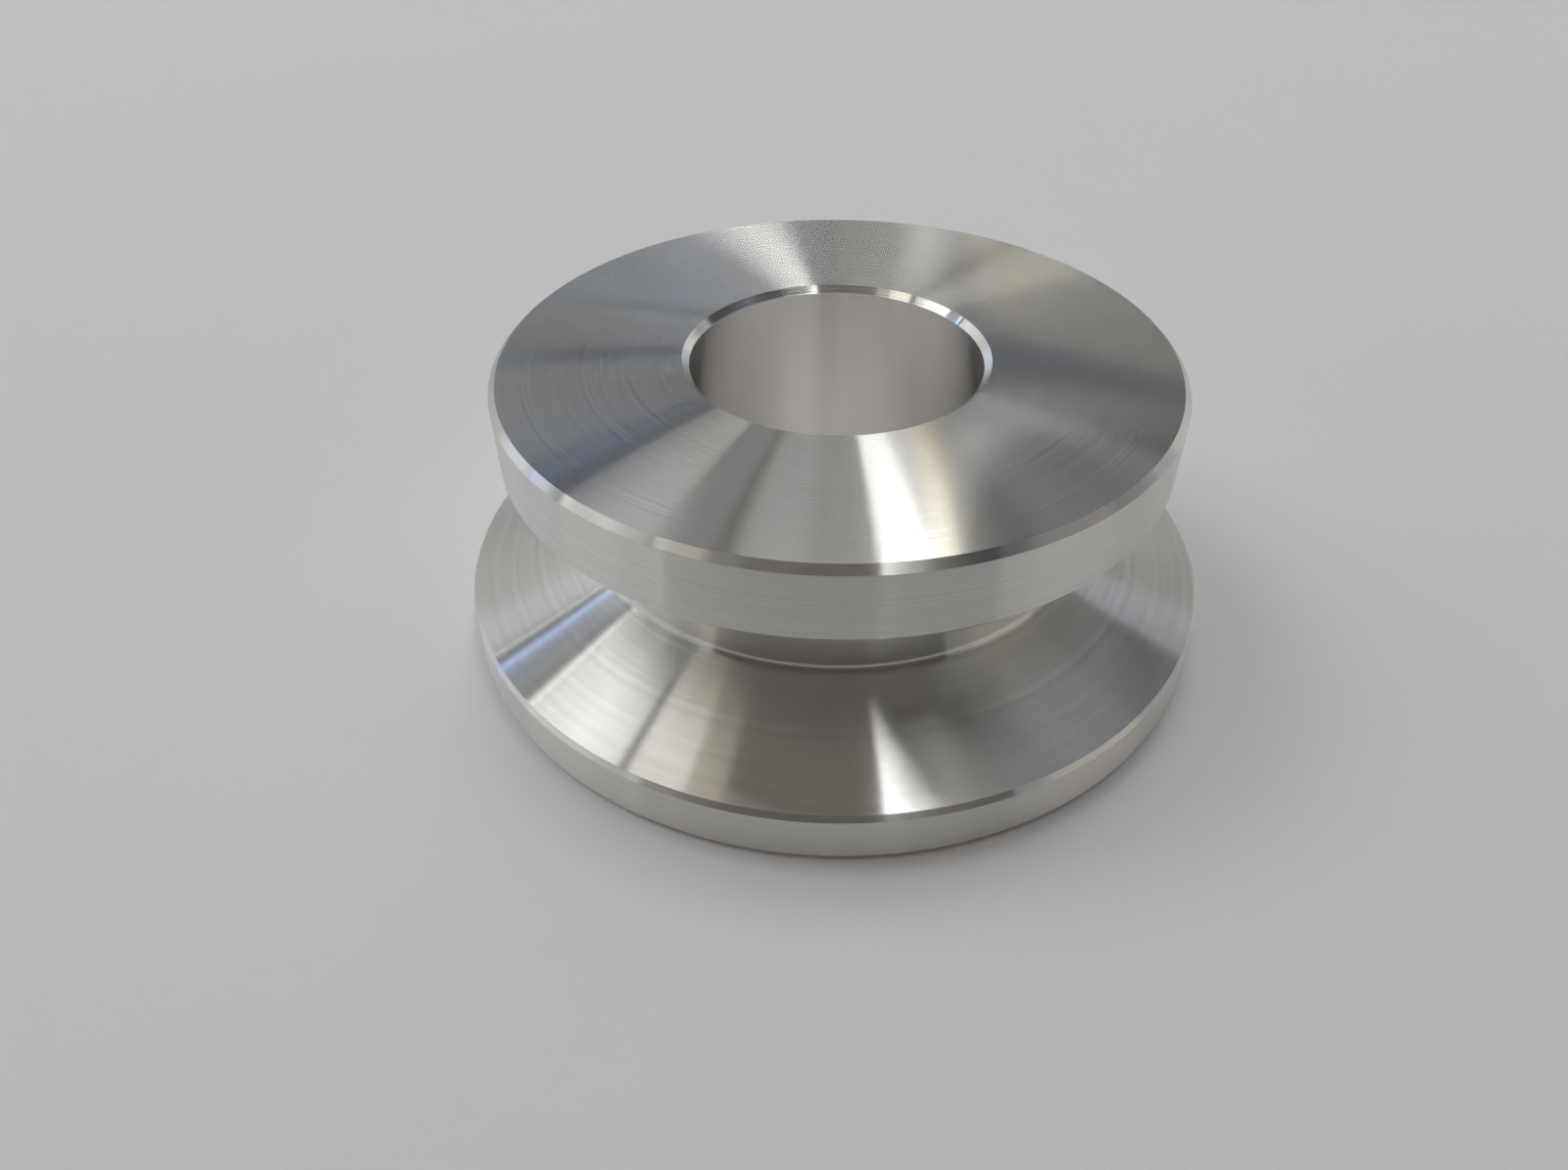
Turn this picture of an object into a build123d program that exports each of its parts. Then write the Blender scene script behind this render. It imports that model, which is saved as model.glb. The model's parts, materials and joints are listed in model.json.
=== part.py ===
from build123d import *

import os
from math import isclose, radians, tan

# Grooved roller, turned from one bar of aluminium: an upper and a wider lower flange with a
# V groove between them, and a plain bore right through. The axis is Z. The origin is the
# centre of the lower end face, which the roller stands on.

# Driving dimensions, in mm and degrees
overall_height = 21.25
upper_flange_diameter = 50.0
lower_flange_diameter = 58.0
groove_root_diameter = 38.4
bore_diameter = 21.5
upper_rim_height = 5.6  # from the upper end face to the groove's sharp edge
lower_rim_height = 4.15  # from the lower end face to the groove's sharp edge
flank_angle = 20.0  # of each groove flank, against the end faces
root_fillet = 0.8  # left in both corners of the groove by the tool's nose
end_chamfer = 0.5  # at the outer edge of each end face
bore_chamfer = 0.5  # at both mouths of the bore
flank_edge_chamfer = 0.3  # where each groove flank runs out on its rim

# Radii
upper_radius = upper_flange_diameter / 2
lower_radius = lower_flange_diameter / 2
root_radius = groove_root_diameter / 2
bore_radius = bore_diameter / 2

# Heights above the lower end face. Each flank closes in on the other from its rim to the root.
flank_slope = tan(radians(flank_angle))
upper_rim_bottom = overall_height - upper_rim_height
root_top = upper_rim_bottom - (upper_radius - root_radius) * flank_slope
root_bottom = lower_rim_height + (lower_radius - root_radius) * flank_slope


def rings(turned_part, radius, height):
    """The circular edges of a turned part at one radius and one height."""
    return turned_part.edges().filter_by(
        lambda edge: edge.geom_type == GeomType.CIRCLE
        and isclose(edge.radius, radius, abs_tol=1e-6)
        and isclose(edge.arc_center.Z, height, abs_tol=1e-6)
    )


with BuildPart() as grooved_roller:
    # Half section of the turned blank, from the axis outwards
    with BuildSketch(Plane.XZ):
        with BuildLine():
            Polyline(
                (0, 0),
                (lower_radius, 0),
                (lower_radius, lower_rim_height),
                (root_radius, root_bottom),
                (root_radius, root_top),
                (upper_radius, upper_rim_bottom),
                (upper_radius, overall_height),
                (0, overall_height),
                close=True,
            )
        make_face()
    revolve(axis=Axis.Z)

    # Plain bore, right through
    Hole(radius=bore_radius)

    # Rounded corners at the bottom of the groove
    root_corners = rings(grooved_roller, root_radius, root_bottom)
    root_corners += rings(grooved_roller, root_radius, root_top)
    fillet(root_corners, radius=root_fillet)

    # Broken edges: the end faces' rims, the bore's mouths and the groove's lips
    end_edges = rings(grooved_roller, upper_radius, overall_height)
    end_edges += rings(grooved_roller, lower_radius, 0)
    chamfer(end_edges, length=end_chamfer)

    bore_mouths = rings(grooved_roller, bore_radius, overall_height)
    bore_mouths += rings(grooved_roller, bore_radius, 0)
    chamfer(bore_mouths, length=bore_chamfer)

    groove_lips = rings(grooved_roller, upper_radius, upper_rim_bottom)
    groove_lips += rings(grooved_roller, lower_radius, lower_rim_height)
    chamfer(groove_lips, length=flank_edge_chamfer)

grooved_roller.part.label = "grooved_roller"

os.makedirs("parts", exist_ok=True)
export_step(grooved_roller.part, "parts/grooved_roller.step")
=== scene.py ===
import json
from math import cos, radians, sin

import bpy
from mathutils import Matrix, Vector


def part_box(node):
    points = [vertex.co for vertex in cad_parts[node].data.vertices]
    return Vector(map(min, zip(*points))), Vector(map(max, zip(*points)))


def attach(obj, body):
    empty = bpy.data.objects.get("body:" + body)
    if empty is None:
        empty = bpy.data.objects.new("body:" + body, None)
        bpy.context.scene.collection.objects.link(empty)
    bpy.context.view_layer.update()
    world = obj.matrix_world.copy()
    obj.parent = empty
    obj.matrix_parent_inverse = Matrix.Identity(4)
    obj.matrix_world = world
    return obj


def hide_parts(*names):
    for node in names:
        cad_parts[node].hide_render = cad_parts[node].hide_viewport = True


bl_info = {
    "name": "Grooved roller",
    "version": (1, 0, 0),
    "blender": (4, 5, 0),
    "location": "3D View > Sidebar > Roller",
    "description": "Dresses a turned aluminium roller with a V groove and sets it on a lit table",
    "category": "Object",
}

MM = 0.001

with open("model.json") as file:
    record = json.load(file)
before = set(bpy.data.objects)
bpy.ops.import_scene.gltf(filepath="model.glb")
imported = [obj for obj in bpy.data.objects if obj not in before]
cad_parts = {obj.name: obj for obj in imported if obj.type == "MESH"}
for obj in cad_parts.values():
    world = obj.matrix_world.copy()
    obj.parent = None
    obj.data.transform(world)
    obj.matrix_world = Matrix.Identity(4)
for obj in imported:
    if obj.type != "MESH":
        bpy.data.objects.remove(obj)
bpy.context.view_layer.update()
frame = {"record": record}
CAD_NODE = "grooved_roller"
BODY = "root"
node_low, node_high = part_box(CAD_NODE)
bore_mount = next(m for m in frame["record"]["mounts"] if m["name"] == "bore")


# ---------------------------------------------------------------- shared helpers


def hex_colour(text):
    """Turns an sRGB hex colour into the linear values that Blender's nodes and lamps take."""
    channels = [int(text[i:i + 2], 16) / 255 for i in (1, 3, 5)]
    return [c / 12.92 if c <= 0.04045 else ((c + 0.055) / 1.055) ** 2.4 for c in channels]


def add_node(tree, kind, inputs=None, output=0, **settings):
    """Adds a node, sets its properties, feeds its inputs and returns one of its outputs.

    Inputs are named by socket name or index. A socket is linked, and any other value is set."""
    node = tree.nodes.new(kind)
    for name, value in settings.items():
        setattr(node, name, value)
    for key, value in (inputs or {}).items():
        if isinstance(value, bpy.types.NodeSocket):
            tree.links.new(value, node.inputs[key])
        else:
            node.inputs[key].default_value = value
    return node.outputs[output] if node.outputs else node


def new_material(name):
    """An empty node material."""
    material = bpy.data.materials.new(name)
    material.use_nodes = True
    material.node_tree.nodes.clear()
    return material


# ---------------------------------------------------------------- turned aluminium


# How level a face lies is the upward part of its normal: 0 on the rims and in the bore, 0.94 on the
# flanks and 1 on the end faces. Between each pair of bounds one scatter gives way to the next.
FLANK_BOUNDS = (0.75, 0.92)
FACE_BOUNDS = (0.95, 0.99)

# A wall reaches this far past its own radius.
WALL_MARGIN = 0.05 * MM

# The noise that stands for the tool marks stays mostly between these heights.
LOW_MARK, HIGH_MARK = 0.3, 0.7


def turned_aluminium(finish, sizes):
    """Aluminium bar, such as 6082, turned on a CNC lathe and left as it came off the tool.

    The tool's feed leaves thousands of fine rings about the axis. Along a ring the metal is almost
    a mirror, and across the rings it scatters widely, so a lamp shows as a sharp radial streak."""
    material = new_material("turned aluminium")
    tree = material.node_tree

    def maths(operation, *values):
        return add_node(tree, "ShaderNodeMath", dict(enumerate(values)), operation=operation)

    def vectors(operation, *values):
        return add_node(tree, "ShaderNodeVectorMath", dict(enumerate(values)), operation=operation)

    place = add_node(tree, "ShaderNodeTexCoord", output="Object")
    flat = vectors("MULTIPLY", place, (1, 1, 0))
    radius = add_node(tree, "ShaderNodeVectorMath", {0: flat}, output="Value", operation="LENGTH")
    outwards = vectors("NORMALIZE", flat)
    along_ring = vectors("CROSS_PRODUCT", (0, 0, 1), outwards)
    height = add_node(tree, "ShaderNodeSeparateXYZ", {0: place}, output="Z")
    facing = add_node(tree, "ShaderNodeSeparateXYZ", {
        0: add_node(tree, "ShaderNodeTexCoord", output="Normal")}, output="Z")
    level = maths("ABSOLUTE", facing)

    # Tool marks: rings that run unbroken round the axis, and short drag marks along them. The real
    # feed of about 0.1 mm is too fine for the picture, so they are drawn three times as coarse.
    feed = maths("DIVIDE", maths("ADD", radius, height), finish.ring_pitch)
    rings = add_node(tree, "ShaderNodeTexNoise", {
        "W": feed, "Scale": 1.0, "Detail": 2.0, "Roughness": 0.6}, noise_dimensions="1D")
    drag_place = vectors("DIVIDE", place, [finish.drag_length] * 3)
    drags = add_node(tree, "ShaderNodeTexNoise", {
        "Vector": drag_place, "W": feed, "Scale": 1.0, "Detail": 1.0}, noise_dimensions="4D")
    relief = maths("MULTIPLY_ADD", drags, finish.drag_share, rings)
    marks = add_node(tree, "ShaderNodeBump", {
        "Height": relief, "Strength": 1.0, "Distance": finish.ring_depth})
    noises = 1 + finish.drag_share
    dulling = add_node(tree, "ShaderNodeMapRange", {
        "Value": relief, "From Min": LOW_MARK * noises, "From Max": HIGH_MARK * noises,
        "To Min": 1 - finish.mark_contrast, "To Max": 1.0})

    # Each pass leaves its own scatter: in the bore, at the groove's root, on the rims, on the
    # flanks and on the end faces.
    in_bore = maths("LESS_THAN", radius, sizes.bore_diameter / 2 + WALL_MARGIN)
    in_root = maths("LESS_THAN", radius, sizes.groove_root_diameter / 2 + WALL_MARGIN)
    root_to_rims = add_node(tree, "ShaderNodeMapRange", {
        "Value": in_root, "To Min": finish.rim_scatter, "To Max": finish.root_scatter})
    bore_to_rims = add_node(tree, "ShaderNodeMapRange", {
        "Value": in_bore, "To Min": root_to_rims, "To Max": finish.bore_scatter})
    rims_to_flanks = add_node(tree, "ShaderNodeMapRange", {
        "Value": level, "From Min": FLANK_BOUNDS[0], "From Max": FLANK_BOUNDS[1],
        "To Min": bore_to_rims, "To Max": finish.flank_scatter})
    across = add_node(tree, "ShaderNodeMapRange", {
        "Value": level, "From Min": FACE_BOUNDS[0], "From Max": FACE_BOUNDS[1],
        "To Min": rims_to_flanks, "To Max": finish.face_scatter})
    sharp = maths("SQRT", maths("DIVIDE", finish.ring_gloss, across))

    # Deep marks dull the metal. The bore gets a paler colour of its own, which is painted light
    # that brightens the bore's wall.
    turned = vectors("SCALE", hex_colour(finish.aluminium_colour))
    tree.links.new(dulling, turned.node.inputs["Scale"])
    colour = add_node(tree, "ShaderNodeMix", {
        "Factor": in_bore, "A": turned, "B": hex_colour(finish.bore_painted_light_colour) + [1],
    }, output="Result", data_type="RGBA")

    # The sharp streaks, and a softer gloss that a quarter turn stretches across the rings.
    quarter_turn = 0.25
    gloss = add_node(tree, "ShaderNodeBsdfAnisotropic", {
        "Color": colour,
        "Roughness": maths("SQRT", maths("MULTIPLY", across, sharp)),
        "Anisotropy": maths("SUBTRACT", 1.0, sharp),
        "Normal": marks,
        "Tangent": along_ring,
    }, distribution="GGX")
    shader = add_node(tree, "ShaderNodeBsdfPrincipled", {
        "Base Color": colour,
        "Metallic": 1.0,
        "Roughness": finish.roughness,
        "Anisotropic": 1.0,
        "Anisotropic Rotation": quarter_turn,
        "Normal": marks,
        "Tangent": along_ring,
    })
    surface = add_node(tree, "ShaderNodeMixShader", {0: 1 - finish.haze, 1: shader, 2: gloss})
    add_node(tree, "ShaderNodeOutputMaterial", {"Surface": surface})
    return material


# ---------------------------------------------------------------- the roller


class RollerSizes(bpy.types.PropertyGroup):
    """The turned section, the same as the solid's."""

    overall_height: bpy.props.FloatProperty(
        name="Overall height", description="From end face to end face",
        default=node_high.z - node_low.z, unit="LENGTH")
    lower_flange_diameter: bpy.props.FloatProperty(
        name="Lower flange", description="Outer diameter of the wider flange",
        default=node_high.x - node_low.x, unit="LENGTH")
    upper_flange_diameter: bpy.props.FloatProperty(
        name="Upper flange", description="Outer diameter of the narrower flange",
        default=50 * MM, unit="LENGTH")
    groove_root_diameter: bpy.props.FloatProperty(
        name="Groove root", description="Diameter at the bottom of the V groove",
        default=38.4 * MM, unit="LENGTH")
    bore_diameter: bpy.props.FloatProperty(
        name="Bore", description="Diameter of the through bore",
        default=2 * bore_mount["dims"]["r_mm"] * MM, unit="LENGTH")
    upper_rim_height: bpy.props.FloatProperty(
        name="Upper rim", description="From the upper end face to the groove's sharp edge",
        default=5.6 * MM, unit="LENGTH")
    lower_rim_height: bpy.props.FloatProperty(
        name="Lower rim", description="From the lower end face to the groove's sharp edge",
        default=4.15 * MM, unit="LENGTH")
    flank_angle: bpy.props.FloatProperty(
        name="Flank angle", description="Of each groove flank, against the end faces",
        default=radians(20), subtype="ANGLE")
    root_fillet: bpy.props.FloatProperty(
        name="Root fillet", description="Left in both corners of the groove by the tool's nose",
        default=0.8 * MM, unit="LENGTH")
    end_chamfer: bpy.props.FloatProperty(
        name="End chamfer", description="Leg of the edge break round each end face",
        default=0.5 * MM, unit="LENGTH")
    bore_chamfer: bpy.props.FloatProperty(
        name="Bore chamfer", description="Leg of the edge break at both mouths of the bore",
        default=0.5 * MM, unit="LENGTH")
    flank_edge_chamfer: bpy.props.FloatProperty(
        name="Flank edge break", description="Leg of the edge break where a flank meets its rim",
        default=0.3 * MM, unit="LENGTH")
    ring_segments: bpy.props.IntProperty(
        name="Ring segments", description="Flats round the roller", default=720, min=16)
    fillet_segments: bpy.props.IntProperty(
        name="Fillet segments", description="Flats round each root fillet", default=14, min=2)


def lathe_tree():
    """Geometry nodes that turn the roller.

    They break the corners of its half section and sweep that round the axis."""
    tree = bpy.data.node_groups.new("turned roller", "GeometryNodeTree")
    lengths = ("Overall Height", "Upper Radius", "Lower Radius", "Root Radius", "Bore Radius",
               "Upper Rim Height", "Lower Rim Height", "Root Fillet", "End Chamfer", "Bore Chamfer",
               "Flank Edge Chamfer")

    def add_socket(name, kind, in_out="INPUT"):
        return tree.interface.new_socket(name, in_out=in_out, socket_type=kind)

    for name in lengths:
        add_socket(name, "NodeSocketFloat").subtype = "DISTANCE"
    add_socket("Flank Angle", "NodeSocketFloat").subtype = "ANGLE"
    add_socket("Ring Segments", "NodeSocketInt")
    add_socket("Fillet Segments", "NodeSocketInt")
    add_socket("Finish", "NodeSocketMaterial")
    add_socket("Geometry", "NodeSocketGeometry", in_out="OUTPUT")
    given = tree.nodes.new("NodeGroupInput").outputs

    def maths(operation, *values):
        return add_node(tree, "ShaderNodeMath", dict(enumerate(values)), operation=operation)

    # Heights of the groove's corners, before they are rounded.
    slope = maths("TANGENT", given["Flank Angle"])
    upper_lip = maths("SUBTRACT", given["Overall Height"], given["Upper Rim Height"])
    upper_depth = maths("SUBTRACT", given["Upper Radius"], given["Root Radius"])
    lower_depth = maths("SUBTRACT", given["Lower Radius"], given["Root Radius"])
    root_top = maths("SUBTRACT", upper_lip, maths("MULTIPLY", upper_depth, slope))
    root_bottom = maths("ADD", given["Lower Rim Height"], maths("MULTIPLY", lower_depth, slope))

    # A flank turns the outline by less than a right angle at its rim, so that cut needs a larger
    # radius.
    lip_turn = maths("SUBTRACT", radians(90), given["Flank Angle"])
    half_turn = maths("MULTIPLY", lip_turn, 0.5)
    lip_radius = maths("DIVIDE", given["Flank Edge Chamfer"], maths("TANGENT", half_turn))

    # Each corner of the half section: radius from the axis, height, size of its break, flats in it.
    corners = (
        (given["Bore Radius"], given["Overall Height"], given["Bore Chamfer"], 1),
        (given["Upper Radius"], given["Overall Height"], given["End Chamfer"], 1),
        (given["Upper Radius"], upper_lip, lip_radius, 1),
        (given["Root Radius"], root_top, given["Root Fillet"], given["Fillet Segments"]),
        (given["Root Radius"], root_bottom, given["Root Fillet"], given["Fillet Segments"]),
        (given["Lower Radius"], given["Lower Rim Height"], lip_radius, 1),
        (given["Lower Radius"], 0.0, given["End Chamfer"], 1),
        (given["Bore Radius"], 0.0, given["Bore Chamfer"], 1),
    )
    index = add_node(tree, "GeometryNodeInputIndex")

    def per_corner(kind, values):
        """Gives each point of the outline the value of its corner."""
        switch = tree.nodes.new("GeometryNodeIndexSwitch")
        switch.data_type = kind
        while len(switch.index_switch_items) < len(values):
            switch.index_switch_items.new()
        tree.links.new(index, switch.inputs["Index"])
        for i, value in enumerate(values):
            socket = switch.inputs[i + 1]
            if isinstance(value, bpy.types.NodeSocket):
                tree.links.new(value, socket)
            else:
                socket.default_value = value
        return switch.outputs[0]

    # The sweep's path is a circle on the bore's wall: the outline's X runs outwards from it, and
    # its Y runs down.
    places = [
        add_node(tree, "ShaderNodeCombineXYZ", {
            0: maths("SUBTRACT", radius, given["Bore Radius"]),
            1: maths("MULTIPLY", height, -1.0)})
        for radius, height, size, flats in corners
    ]
    outline = add_node(tree, "GeometryNodeMeshLine", {"Count": len(corners)})
    outline = add_node(tree, "GeometryNodeSetPosition", {
        "Geometry": outline, "Position": per_corner("VECTOR", places)})
    outline = add_node(tree, "GeometryNodeMeshToCurve", {"Mesh": outline})
    outline = add_node(tree, "GeometryNodeSetSplineCyclic", {"Geometry": outline, "Cyclic": True})
    section = add_node(tree, "GeometryNodeFilletCurve", {
        "Curve": outline,
        "Radius": per_corner("FLOAT", [size for radius, height, size, flats in corners]),
        "Count": per_corner("INT", [flats for radius, height, size, flats in corners]),
    }, mode="POLY")
    path = add_node(tree, "GeometryNodeCurvePrimitiveCircle", {
        "Resolution": given["Ring Segments"], "Radius": given["Bore Radius"]})
    turned = add_node(tree, "GeometryNodeCurveToMesh", {"Curve": path, "Profile Curve": section})

    # Rounded stretches shade smoothly, and the edges between faces stay crisp.
    turned = add_node(tree, "GeometryNodeSetShadeSmooth", {"Geometry": turned}, domain="FACE")
    bend = add_node(tree, "GeometryNodeInputMeshEdgeAngle")
    crisp = add_node(tree, "FunctionNodeCompare", {0: bend, 1: radians(20)},
                     data_type="FLOAT", operation="GREATER_THAN")
    turned = add_node(tree, "GeometryNodeSetShadeSmooth", {
        "Geometry": turned, "Selection": crisp, "Shade Smooth": False}, domain="EDGE")
    turned = add_node(tree, "GeometryNodeRealizeInstances", {"Geometry": turned})
    turned = add_node(tree, "GeometryNodeSetMaterial", {
        "Geometry": turned, "Material": given["Finish"]})
    add_node(tree, "NodeGroupOutput", {"Geometry": turned})
    return tree


def mesh_from_tree(name, tree, values):
    """Runs a geometry node tree with the named input values and returns a plain mesh object."""
    carrier = bpy.data.objects.new(name, bpy.data.meshes.new(name))
    bpy.context.scene.collection.objects.link(carrier)
    modifier = carrier.modifiers.new("nodes", "NODES")
    modifier.node_group = tree
    for item in tree.interface.items_tree:
        if item.name in values:
            modifier[item.identifier] = values[item.name]
    graph = bpy.context.evaluated_depsgraph_get()
    mesh = bpy.data.meshes.new_from_object(carrier.evaluated_get(graph))
    carrier.modifiers.remove(modifier)
    carrier.data = mesh
    mesh.name = name
    return carrier


class TurnRoller(bpy.types.Operator):
    """Turns the roller's finely divided body and puts it in place of the plain solid"""

    bl_idname = "roller.turn_body"
    bl_label = "Turn the roller"

    def execute(self, context):
        sizes = context.scene.roller_sizes
        body = mesh_from_tree("turned_roller", lathe_tree(), {
            "Overall Height": sizes.overall_height,
            "Upper Radius": sizes.upper_flange_diameter / 2,
            "Lower Radius": sizes.lower_flange_diameter / 2,
            "Root Radius": sizes.groove_root_diameter / 2,
            "Bore Radius": sizes.bore_diameter / 2,
            "Upper Rim Height": sizes.upper_rim_height,
            "Lower Rim Height": sizes.lower_rim_height,
            "Root Fillet": sizes.root_fillet,
            "End Chamfer": sizes.end_chamfer,
            "Bore Chamfer": sizes.bore_chamfer,
            "Flank Edge Chamfer": sizes.flank_edge_chamfer,
            "Flank Angle": sizes.flank_angle,
            "Ring Segments": sizes.ring_segments,
            "Fillet Segments": sizes.fillet_segments,
            "Finish": turned_aluminium(context.scene.roller_finish, sizes),
        })
        if not body.data.polygons:
            raise RuntimeError("the section made no faces")
        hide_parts(CAD_NODE)
        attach(body, BODY)
        return {"FINISHED"}


class RollerFinish(bpy.types.PropertyGroup):
    """The metal's colour and gloss."""

    aluminium_colour: bpy.props.StringProperty(
        name="Aluminium", description="Colour of the bare metal, as sRGB hex", default="#EFEEE9")
    roughness: bpy.props.FloatProperty(
        name="Roughness", description="Of the softer gloss, before the rings stretch it",
        default=0.30, min=0, max=1, subtype="FACTOR")
    # The bore's colour is painted paler than the turned metal. It is painted light that brightens
    # the bore's wall, and the reamer's burnish in its description is only assumed.
    bore_painted_light_colour: bpy.props.StringProperty(
        name="Bore", description="Colour of the bore's wall, burnished by the reamer, as sRGB hex",
        default="#FFFDFA")
    haze: bpy.props.FloatProperty(
        name="Haze", description="Share of the softer gloss round each sharp streak",
        default=0.1, min=0, max=1, subtype="FACTOR")
    face_scatter: bpy.props.FloatProperty(
        name="Face scatter", description="Spread of slopes across the rings on the end faces",
        default=0.26, min=0.01, max=1, subtype="FACTOR")
    bore_scatter: bpy.props.FloatProperty(
        name="Bore scatter", description="Spread of slopes across the rings in the bore",
        default=0.2, min=0.01, max=1, subtype="FACTOR")
    root_scatter: bpy.props.FloatProperty(
        name="Root scatter", description="Spread of slopes across the rings at the groove's root",
        default=0.12, min=0.01, max=1, subtype="FACTOR")
    rim_scatter: bpy.props.FloatProperty(
        name="Rim scatter", description="Spread of slopes across the rings on the rims",
        default=0.33, min=0.01, max=1, subtype="FACTOR")
    flank_scatter: bpy.props.FloatProperty(
        name="Flank scatter", description="Spread of slopes across the rings on the flanks",
        default=0.36, min=0.01, max=1, subtype="FACTOR")
    ring_gloss: bpy.props.FloatProperty(
        name="Ring gloss", description="Spread of slopes along a ring",
        default=0.008, min=0.001, max=1, subtype="FACTOR")
    ring_pitch: bpy.props.FloatProperty(
        name="Ring pitch", description="Between two neighbouring tool marks",
        default=0.3 * MM, unit="LENGTH")
    ring_depth: bpy.props.FloatProperty(
        name="Ring depth", description="Of the tool marks", default=0.007 * MM, unit="LENGTH")
    drag_length: bpy.props.FloatProperty(
        name="Drag length", description="Of the short marks along the rings",
        default=10 * MM, unit="LENGTH")
    drag_share: bpy.props.FloatProperty(
        name="Drag share", description="Height of the short marks against the rings",
        default=0.4, min=0, max=3, subtype="FACTOR")
    mark_contrast: bpy.props.FloatProperty(
        name="Mark contrast", description="How much a deep mark dulls the metal",
        default=0.12, min=0, max=1, subtype="FACTOR")


# ---------------------------------------------------------------- stage


class RollerStage(bpy.types.PropertyGroup):
    """The table, the camera and the lamps."""

    floor_colour: bpy.props.StringProperty(
        name="Floor", description="Colour of the matt table top, as sRGB hex", default="#FDFDFE")
    backdrop_colour: bpy.props.StringProperty(
        name="Backdrop", description="Colour seen past the edge of the table, as sRGB hex",
        default="#C4C4C6")
    camera_lens: bpy.props.FloatProperty(
        name="Lens", description="Focal length", default=25.585, subtype="DISTANCE_CAMERA")
    camera_back: bpy.props.FloatProperty(
        name="Camera distance", description="Level distance of the lens from the roller's axis",
        default=73.09 * MM, unit="LENGTH")
    camera_height: bpy.props.FloatProperty(
        name="Camera height", description="Of the lens above the table",
        default=60.545 * MM, unit="LENGTH")
    camera_pan: bpy.props.FloatProperty(
        name="Camera pan", description="To the left", default=0.0547, subtype="ANGLE")
    camera_tilt: bpy.props.FloatProperty(
        name="Camera tilt", description="Downwards", default=0.6994, subtype="ANGLE")
    camera_roll: bpy.props.FloatProperty(
        name="Camera roll", description="Clockwise", default=0.0112, subtype="ANGLE")
    cloth_colour: bpy.props.StringProperty(
        name="Cloth", description="Colour of the dark cloth behind the camera, as sRGB hex",
        default="#3A2C2A")
    cloth_distance: bpy.props.FloatProperty(
        name="Cloth distance", description="Level distance of the cloth from the roller's axis",
        default=105 * MM, unit="LENGTH")
    cloth_width: bpy.props.FloatProperty(
        name="Cloth width", description="Of the dark cloth", default=210 * MM, unit="LENGTH")
    cloth_height: bpy.props.FloatProperty(
        name="Cloth height", description="Above the table", default=190 * MM, unit="LENGTH")


# The table, the ceiling and the walls, in metres.
TABLE_REACH = 3.0
CEILING_HEIGHT = 2.5
VELVET_GAP = 0.02
VELVET_REACH = 6.3
WALL_DISTANCE = 5.0
WALL_HEIGHT = 2.0

# Tints of the lamps, as sRGB hex.
WHITE = "#FFFFFF"
WARM = "#FFF7EA"
STRAW = "#FFF2CC"
COOL = "#E8EFFF"
BLUE = "#B4CCFF"

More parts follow.
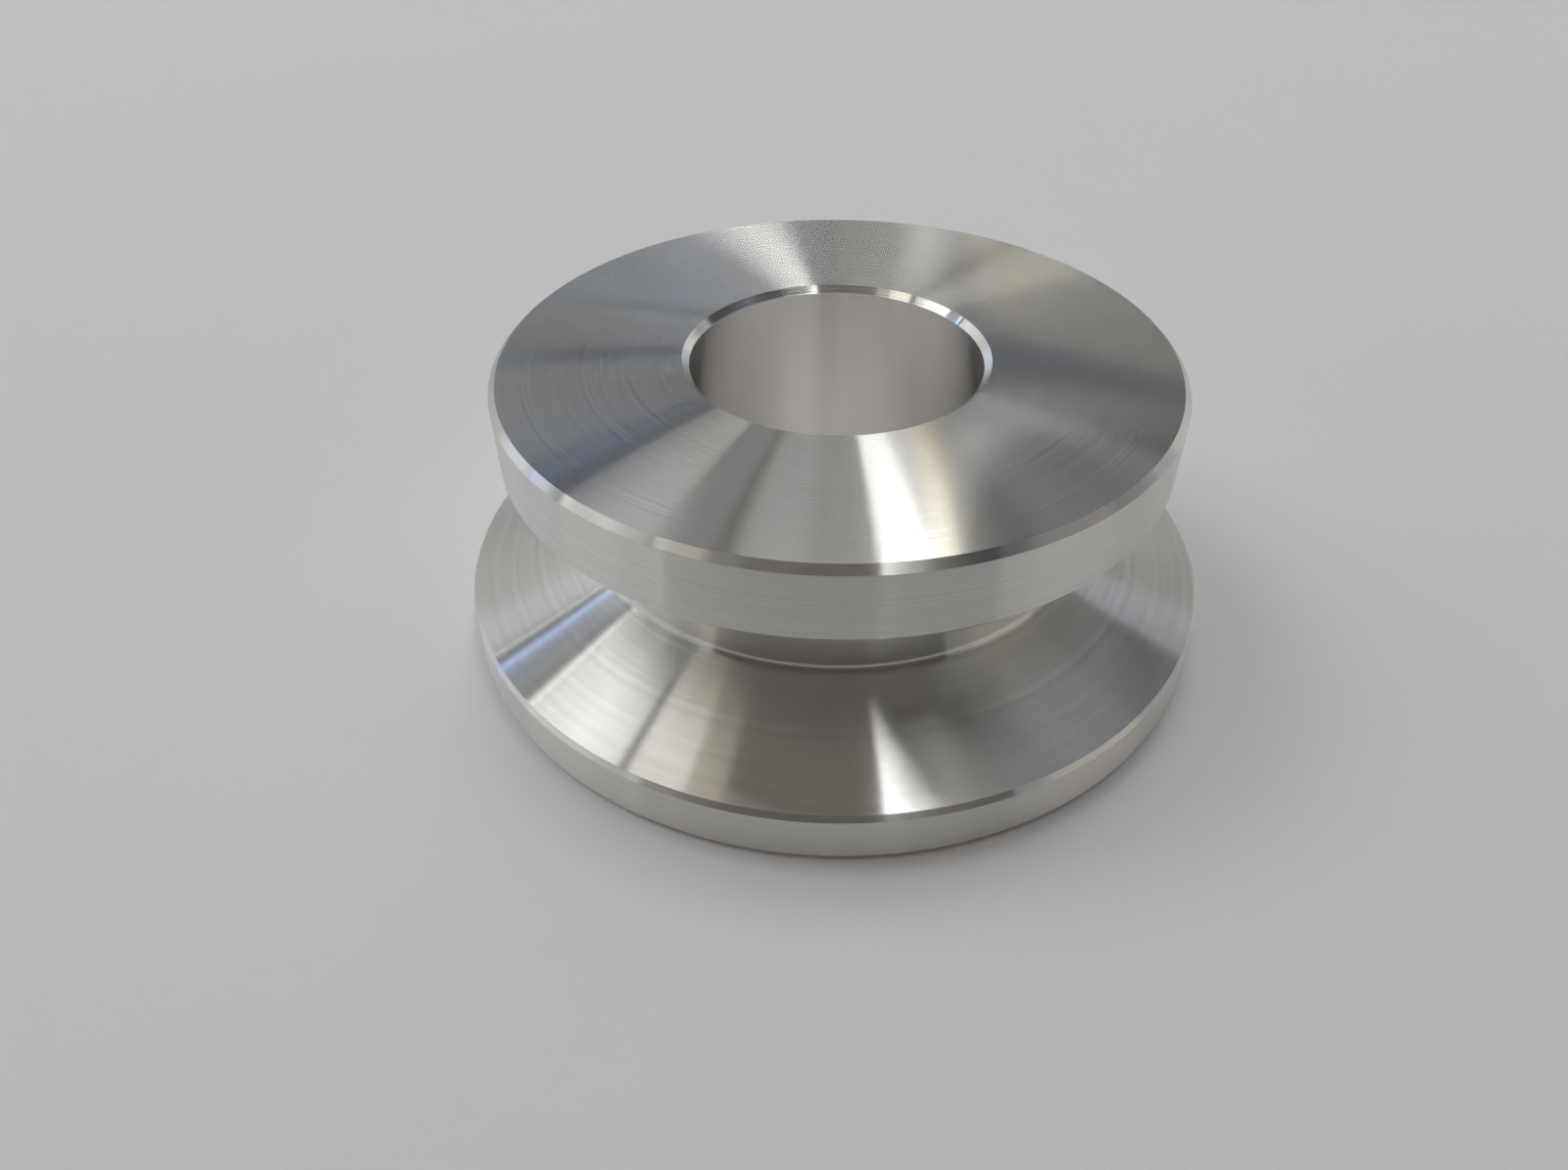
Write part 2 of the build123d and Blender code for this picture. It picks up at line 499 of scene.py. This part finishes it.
# Lit panels under the ceiling: radiance (1 is white), colour, and corners as slopes from the
# roller, so that a corner at (0.2, 0.5) stands 0.2 m right and 0.5 m back for each metre up.
CEILING_PANELS = {
    "tube_near": (4.20, WHITE, [
        (0.205, -0.45), (0.215, -0.45), (0.215, -0.1), (0.15, -0.1), (0.175, -0.3)]),
    "tube_middle": (4.70, WHITE, [
        (0.15, -0.1), (0.215, -0.1), (0.215, 0.2), (0.111, 0.2), (0.122, 0.1)]),
    "tube_far": (8.80, WHITE, [
        (0.111, 0.2), (0.215, 0.2), (0.215, 0.3), (0.2, 0.5), (0.085, 0.5), (0.1, 0.3)]),
    "tube_end": (1.96, WHITE, [(0.12, 0.5), (0.21, 0.5), (0.2, 1.15), (0.12, 1.15)]),
    "second_tube": (3.71, STRAW, [(0.145, 1.2), (0.18, 1.2), (0.18, 1.7), (0.145, 1.7)]),
    "third_tube": (3.17, WHITE, [(0.14, 1.9), (0.19, 1.9), (0.19, 3.2), (0.14, 3.2)]),
    "panel_left_of_tube": (2.68, WHITE, [(-0.2, 0.2), (-0.05, 0.2), (-0.05, 0.5), (-0.2, 0.5)]),
    "panel_beside_tube": (2.01, WHITE, [(-0.05, 0.2), (0.08, 0.2), (0.08, 0.5), (-0.05, 0.5)]),
    "panel_overhead": (0.30, WARM, [
        (-0.4, -0.45), (0.17, -0.45), (0.14, -0.1), (0.1, 0.15), (-0.2, 0.15), (-0.27, -0.1)]),
    "panel_right_of_tube": (0.77, WHITE, [(0.24, -0.2), (0.4, -0.2), (0.4, 0.5), (0.24, 0.5)]),
    "panel_inner": (0.78, WARM, [
        (-0.56, -0.45), (-0.49, -0.3), (-0.39, -0.1), (-0.32, 0.1), (-0.26, 0.3), (-0.18, 0.3),
        (-0.22, 0.1), (-0.27, -0.1), (-0.34, -0.3), (-0.4, -0.45)]),
    "panel_near": (1.36, WARM, [
        (-1.0, -0.5), (-0.81, -0.3), (-0.65, -0.1), (-0.39, -0.1), (-0.49, -0.3), (-0.6, -0.5)]),
    "panel_near_end": (1.52, WHITE, [
        (-0.65, -0.1), (-0.51, 0.1), (-0.4, 0.3), (-0.26, 0.3), (-0.32, 0.1), (-0.39, -0.1)]),
    "panel_middle": (1.69, WHITE, [(-1.1, -0.1), (-0.7, -0.1), (-0.545, 0.1), (-1.1, 0.1)]),
    "panel_far": (2.14, WHITE, [(-1.1, 0.1), (-0.545, 0.1), (-0.43, 0.3), (-1.02, 0.3)]),
    "panel_far_end": (1.87, WHITE, [(-1.02, 0.3), (-0.43, 0.3), (-0.35, 0.5), (-0.69, 0.5)]),
    "panel_edge_strip": (2.94, WHITE, [(-1.22, 0.3), (-1.07, 0.3), (-0.715, 0.5), (-0.78, 0.5)]),
    "panel_outer": (1.57, WHITE, [(-2.0, 0.1), (-1.1, 0.1), (-1.04, 0.3), (-1.2, 0.3)]),
    "blue_slit": (3.34, BLUE, [(-2.1, 0.61), (-1.0, 0.61), (-1.0, 0.67), (-2.1, 0.67)]),
    "pale_slit": (3.67, WHITE, [(-1.7, 0.75), (-1.0, 0.75), (-1.0, 0.77), (-1.7, 0.77)]),
    "back_left_panel": (0.95, WARM, [(-0.65, 0.55), (-0.3, 0.55), (-0.3, 0.75), (-0.65, 0.75)]),
    "skylight": (0.38, BLUE, [(-0.4, 1.8), (-0.2, 1.8), (-0.2, 2.5), (-0.4, 2.5)]),
    "right_band": (0.47, COOL, [(0.8, 0.9), (3.0, 0.95), (3.0, 1.25), (0.36, 1.2)]),
    "right_inner": (0.42, COOL, [(0.4, 0.0), (0.85, 0.0), (0.85, 0.9), (0.4, 0.9)]),
    "ceiling_left_far": (1.03, COOL, [(-3.0, 0.32), (-1.3, 0.32), (-1.3, 0.58), (-3.0, 0.58)]),
    "ceiling_back_left": (1.03, WHITE, [(-3.0, 0.8), (-1.0, 0.8), (-1.0, 2.5), (-3.0, 2.5)]),
}

# Lit walls: radiance, colour, and the angles in degrees from the X axis between which each stands.
# There is no lit wall behind the camera.
WALLS = {
    "wall_front_right": (0.82, WARM, -30, 0),
    "wall_right": (0.46, WHITE, 0, 30),
    "wall_back_right": (0.84, WHITE, 30, 60),
    "wall_back_near_right": (0.75, COOL, 60, 75),
    "window_right": (0.88, WHITE, 75, 90),
    "window_left": (0.77, COOL, 90, 105),
    "wall_back_left": (0.93, COOL, 105, 125),
    "wall_left_corner": (0.59, WHITE, 125, 150),
    "wall_left": (1.15, COOL, 150, 180),
    "wall_left_near": (0.90, WHITE, 180, 205),
    "wall_front_left": (0.72, WHITE, 205, 225),
}


def stage_mesh(name, corners, material, in_view=False):
    """A flat piece of the stage with the given corners. Lamps and screens stay out of the view."""
    mesh = bpy.data.meshes.new(name)
    mesh.from_pydata(corners, [], [range(len(corners))])
    mesh.materials.append(material)
    piece = bpy.data.objects.new(name, mesh)
    piece.visible_camera = in_view
    bpy.context.scene.collection.objects.link(piece)
    return piece


def level_square(reach, height):
    """Corners of a level square round the axis."""
    return [(-reach, -reach, height), (reach, -reach, height),
            (reach, reach, height), (-reach, reach, height)]


def glow(name, radiance, colour):
    """An evenly lit diffuser, or at no radiance a black one."""
    material = new_material(name)
    shader = add_node(material.node_tree, "ShaderNodeEmission", {
        "Color": hex_colour(colour) + [1], "Strength": radiance})
    add_node(material.node_tree, "ShaderNodeOutputMaterial", {"Surface": shader})
    return material


class SetStage(bpy.types.Operator):
    """Sets the roller on a pale table, with lamps and a camera"""

    bl_idname = "roller.set_stage"
    bl_label = "Set the stage"

    def execute(self, context):
        stage = context.scene.roller_stage
        self.lay_floor(stage)
        self.place_camera(context, stage)
        self.light_room(context, stage)
        return {"FINISHED"}

    def lay_floor(self, stage):
        """Matt paper on a table: pale, with no gloss."""
        material = new_material("matt paper")
        shader = add_node(material.node_tree, "ShaderNodeBsdfPrincipled", {
            "Base Color": hex_colour(stage.floor_colour) + [1],
            "Roughness": 1.0,
            "Specular IOR Level": 0.0,
        })
        add_node(material.node_tree, "ShaderNodeOutputMaterial", {"Surface": shader})
        stage_mesh("table_top", level_square(TABLE_REACH, 0), material, in_view=True)

    def place_camera(self, context, stage):
        """A camera in front of the roller, turned by its pan, its tilt and its roll."""
        pan, tilt, roll = -stage.camera_pan, stage.camera_tilt, -stage.camera_roll
        forward = Vector((sin(pan) * cos(tilt), cos(pan) * cos(tilt), -sin(tilt)))
        level = Vector((cos(pan), -sin(pan), 0))
        upright = level.cross(forward)
        right = cos(roll) * level + sin(roll) * upright
        up = -sin(roll) * level + cos(roll) * upright
        lens = bpy.data.cameras.new("camera")
        lens.lens = stage.camera_lens
        lens.sensor_width = 36
        lens.clip_start = 1 * MM
        camera = bpy.data.objects.new("camera", lens)
        turn = Matrix((right, up, -forward)).transposed().to_4x4()
        place = Matrix.Translation((0, -stage.camera_back, stage.camera_height))
        camera.matrix_world = place @ turn
        context.scene.collection.objects.link(camera)
        context.scene.camera = camera

    def light_room(self, context, stage):
        """Lit panels and walls, dark velvet and cloth between them, and a pale backdrop."""
        for name, (radiance, colour, slopes) in CEILING_PANELS.items():
            corners = [(CEILING_HEIGHT * x, CEILING_HEIGHT * y, CEILING_HEIGHT) for x, y in slopes]
            stage_mesh(name, corners, glow(name, radiance, colour))
        for name, (radiance, colour, first, last) in WALLS.items():
            corners = [
                (WALL_DISTANCE * cos(radians(angle)), WALL_DISTANCE * sin(radians(angle)), height)
                for angle, height in (
                    (first, 0), (last, 0), (last, WALL_HEIGHT), (first, WALL_HEIGHT))
            ]
            stage_mesh(name, corners, glow(name, radiance, colour))

        # A dark cloth hangs behind the camera, and the faces turned towards it show it as a dark
        # patch.
        cloth = new_material("dark cloth")
        shader = add_node(cloth.node_tree, "ShaderNodeBsdfDiffuse", {
            "Color": hex_colour(stage.cloth_colour) + [1]})
        add_node(cloth.node_tree, "ShaderNodeOutputMaterial", {"Surface": shader})
        half, back, top = stage.cloth_width / 2, -stage.cloth_distance, stage.cloth_height
        stage_mesh("dark_cloth", [
            (-half, back, 0), (half, back, 0), (half, back, top), (-half, back, top)], cloth)

        # The ceiling between the panels is black velvet. It gives no light back, so it is there for
        # the view and the metal alone.
        velvet = stage_mesh("dark_ceiling", level_square(VELVET_REACH, CEILING_HEIGHT + VELVET_GAP),
                            glow("black velvet", 0.0, WHITE), in_view=True)
        velvet.visible_diffuse = False
        velvet.visible_shadow = False

        # Past the table's edge a pale backdrop shows in the view and in the metal. It gives no
        # other light.
        world = bpy.data.worlds.new("backdrop")
        world.use_nodes = True
        rays = add_node(world.node_tree, "ShaderNodeLightPath").node.outputs
        seen = add_node(world.node_tree, "ShaderNodeMath", {
            0: rays["Is Camera Ray"], 1: rays["Is Glossy Ray"]}, operation="MAXIMUM")
        seen = add_node(world.node_tree, "ShaderNodeMath", {
            0: seen, 1: rays["Is Transmission Ray"]}, operation="MAXIMUM")
        backdrop = world.node_tree.nodes["Background"]
        backdrop.inputs["Color"].default_value = hex_colour(stage.backdrop_colour) + [1]
        world.node_tree.links.new(seen, backdrop.inputs["Strength"])
        context.scene.world = world


class RollerPanel(bpy.types.Panel):
    """Sizes, finish and stage of the grooved roller"""

    bl_idname = "VIEW3D_PT_grooved_roller"
    bl_label = "Grooved roller"
    bl_space_type = "VIEW_3D"
    bl_region_type = "UI"
    bl_category = "Roller"

    def draw(self, context):
        layout = self.layout
        scene = context.scene
        for group in (scene.roller_sizes, scene.roller_finish, scene.roller_stage):
            for name in group.__annotations__:
                layout.prop(group, name)
        layout.operator(TurnRoller.bl_idname)
        layout.operator(SetStage.bl_idname)


CLASSES = (RollerSizes, RollerFinish, RollerStage, TurnRoller, SetStage, RollerPanel)


def register():
    for cls in CLASSES:
        bpy.utils.register_class(cls)
    bpy.types.Scene.roller_sizes = bpy.props.PointerProperty(type=RollerSizes)
    bpy.types.Scene.roller_finish = bpy.props.PointerProperty(type=RollerFinish)
    bpy.types.Scene.roller_stage = bpy.props.PointerProperty(type=RollerStage)


def unregister():
    del bpy.types.Scene.roller_stage
    del bpy.types.Scene.roller_finish
    del bpy.types.Scene.roller_sizes
    for cls in reversed(CLASSES):
        bpy.utils.unregister_class(cls)


def main():
    register()
    bpy.context.scene.view_settings.view_transform = "Standard"
    bpy.ops.roller.turn_body()
    bpy.ops.roller.set_stage()


if __name__ == "__main__":
    main()
